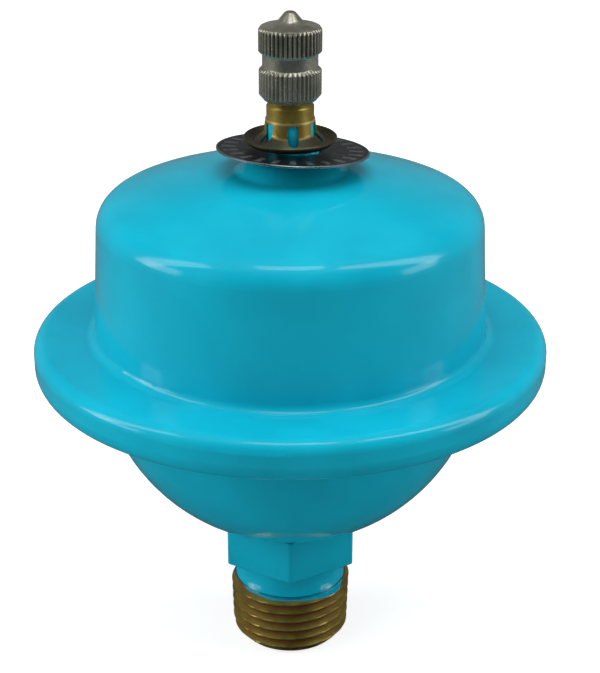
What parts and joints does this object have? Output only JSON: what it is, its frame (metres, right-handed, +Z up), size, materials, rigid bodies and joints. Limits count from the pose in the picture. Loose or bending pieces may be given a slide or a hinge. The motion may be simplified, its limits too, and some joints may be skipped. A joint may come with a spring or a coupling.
{
  "type": "water hammer arrestor",
  "caption": "Diaphragm water hammer arrestor: flanged steel vessel with a male taper pipe thread and hexagon below, a capped gas valve with a loose tag disc above.",
  "frame": {"origin": "centre of the pipe thread's end face, which is the lowest face", "axes": "+Z up the vessel's axis, from the pipe thread to the gas valve; +Y away from the camera of the picture; +X to its right"},
  "size_m": [0.0874, 0.0874, 0.1147],
  "materials": {
    "vessel_paint": "gloss turquoise paint on pressed steel",
    "liner_plastic": "moulded polypropylene",
    "diaphragm_rubber": "moulded butyl rubber",
    "button_plastic": "moulded acetal",
    "fitting_brass": "machined brass, hexagon and neck overpainted turquoise",
    "seal_rubber": "black nitrile rubber",
    "washer_steel": "zinc-plated steel",
    "stem_brass": "turned brass",
    "tag_metal": "black-faced aluminium with a bare edge",
    "retainer_spring_steel": "bronze-brown tempered spring steel",
    "cap_nickel": "dull nickel plate on brass",
    "core_brass": "turned brass",
    "core_gasket_red": "red sealing ring",
    "spring_wire": "stainless spring wire"
  },
  "bodies": {
    "vessel": {"upper_shell": "vessel_paint", "lower_shell": "vessel_paint", "bowl_liner": "liner_plastic", "diaphragm": "diaphragm_rubber", "port_fitting": "fitting_brass", "port_o_ring": "seal_rubber", "port_washer": "washer_steel", "valve_stem": "stem_brass", "stem_gasket": "seal_rubber", "stem_retainer": "retainer_spring_steel", "core_plug": "core_brass", "core_barrel": "core_brass", "core_gasket": "core_gasket_red", "core_spring": "spring_wire"},
    "button": {"diaphragm_button": "button_plastic"},
    "tag": {"tag_disc": "tag_metal"},
    "cap_lift": {"cap_seal": "seal_rubber"},
    "cap": {"valve_cap": "cap_nickel"},
    "core": {"core_pin": "core_brass", "core_cup": "core_brass", "core_cup_seal": "seal_rubber"}
  },
  "joints": [
    {"name": "diaphragm_stroke", "type": "slide", "parent": "vessel", "child": "button", "axis": [0, 0, 1], "range_m": [0, 0.022], "stiffness_N_per_m": 300, "springref_m": -0.01, "deforming": ["diaphragm"]},
    {"name": "tag_turn", "type": "hinge", "parent": "vessel", "child": "tag", "pos_m": [0.00044, 0.00073, 0.09167], "axis": [0.0453, 0.0754, 0.9961], "continuous": true},
    {"name": "cap_rise", "type": "slide", "parent": "vessel", "child": "cap_lift", "axis": [0, 0, 1], "range_m": [0, 0.00715]},
    {"name": "cap_turn", "type": "hinge", "parent": "cap_lift", "child": "cap", "pos_m": [0, 0, 0.11025], "axis": [0, 0, 1], "range_deg": [0, 3240]},
    {"name": "core_press", "type": "slide", "parent": "vessel", "child": "core", "axis": [0, 0, -1], "range_m": [0, 0.0012], "stiffness_N_per_m": 2000, "springref_m": -0.002, "deforming": ["core_spring"]}
  ],
  "couplings": [
    {"joint": "cap_rise", "follows": "cap_turn", "m_per_rad": 0.00012633}
  ]
}
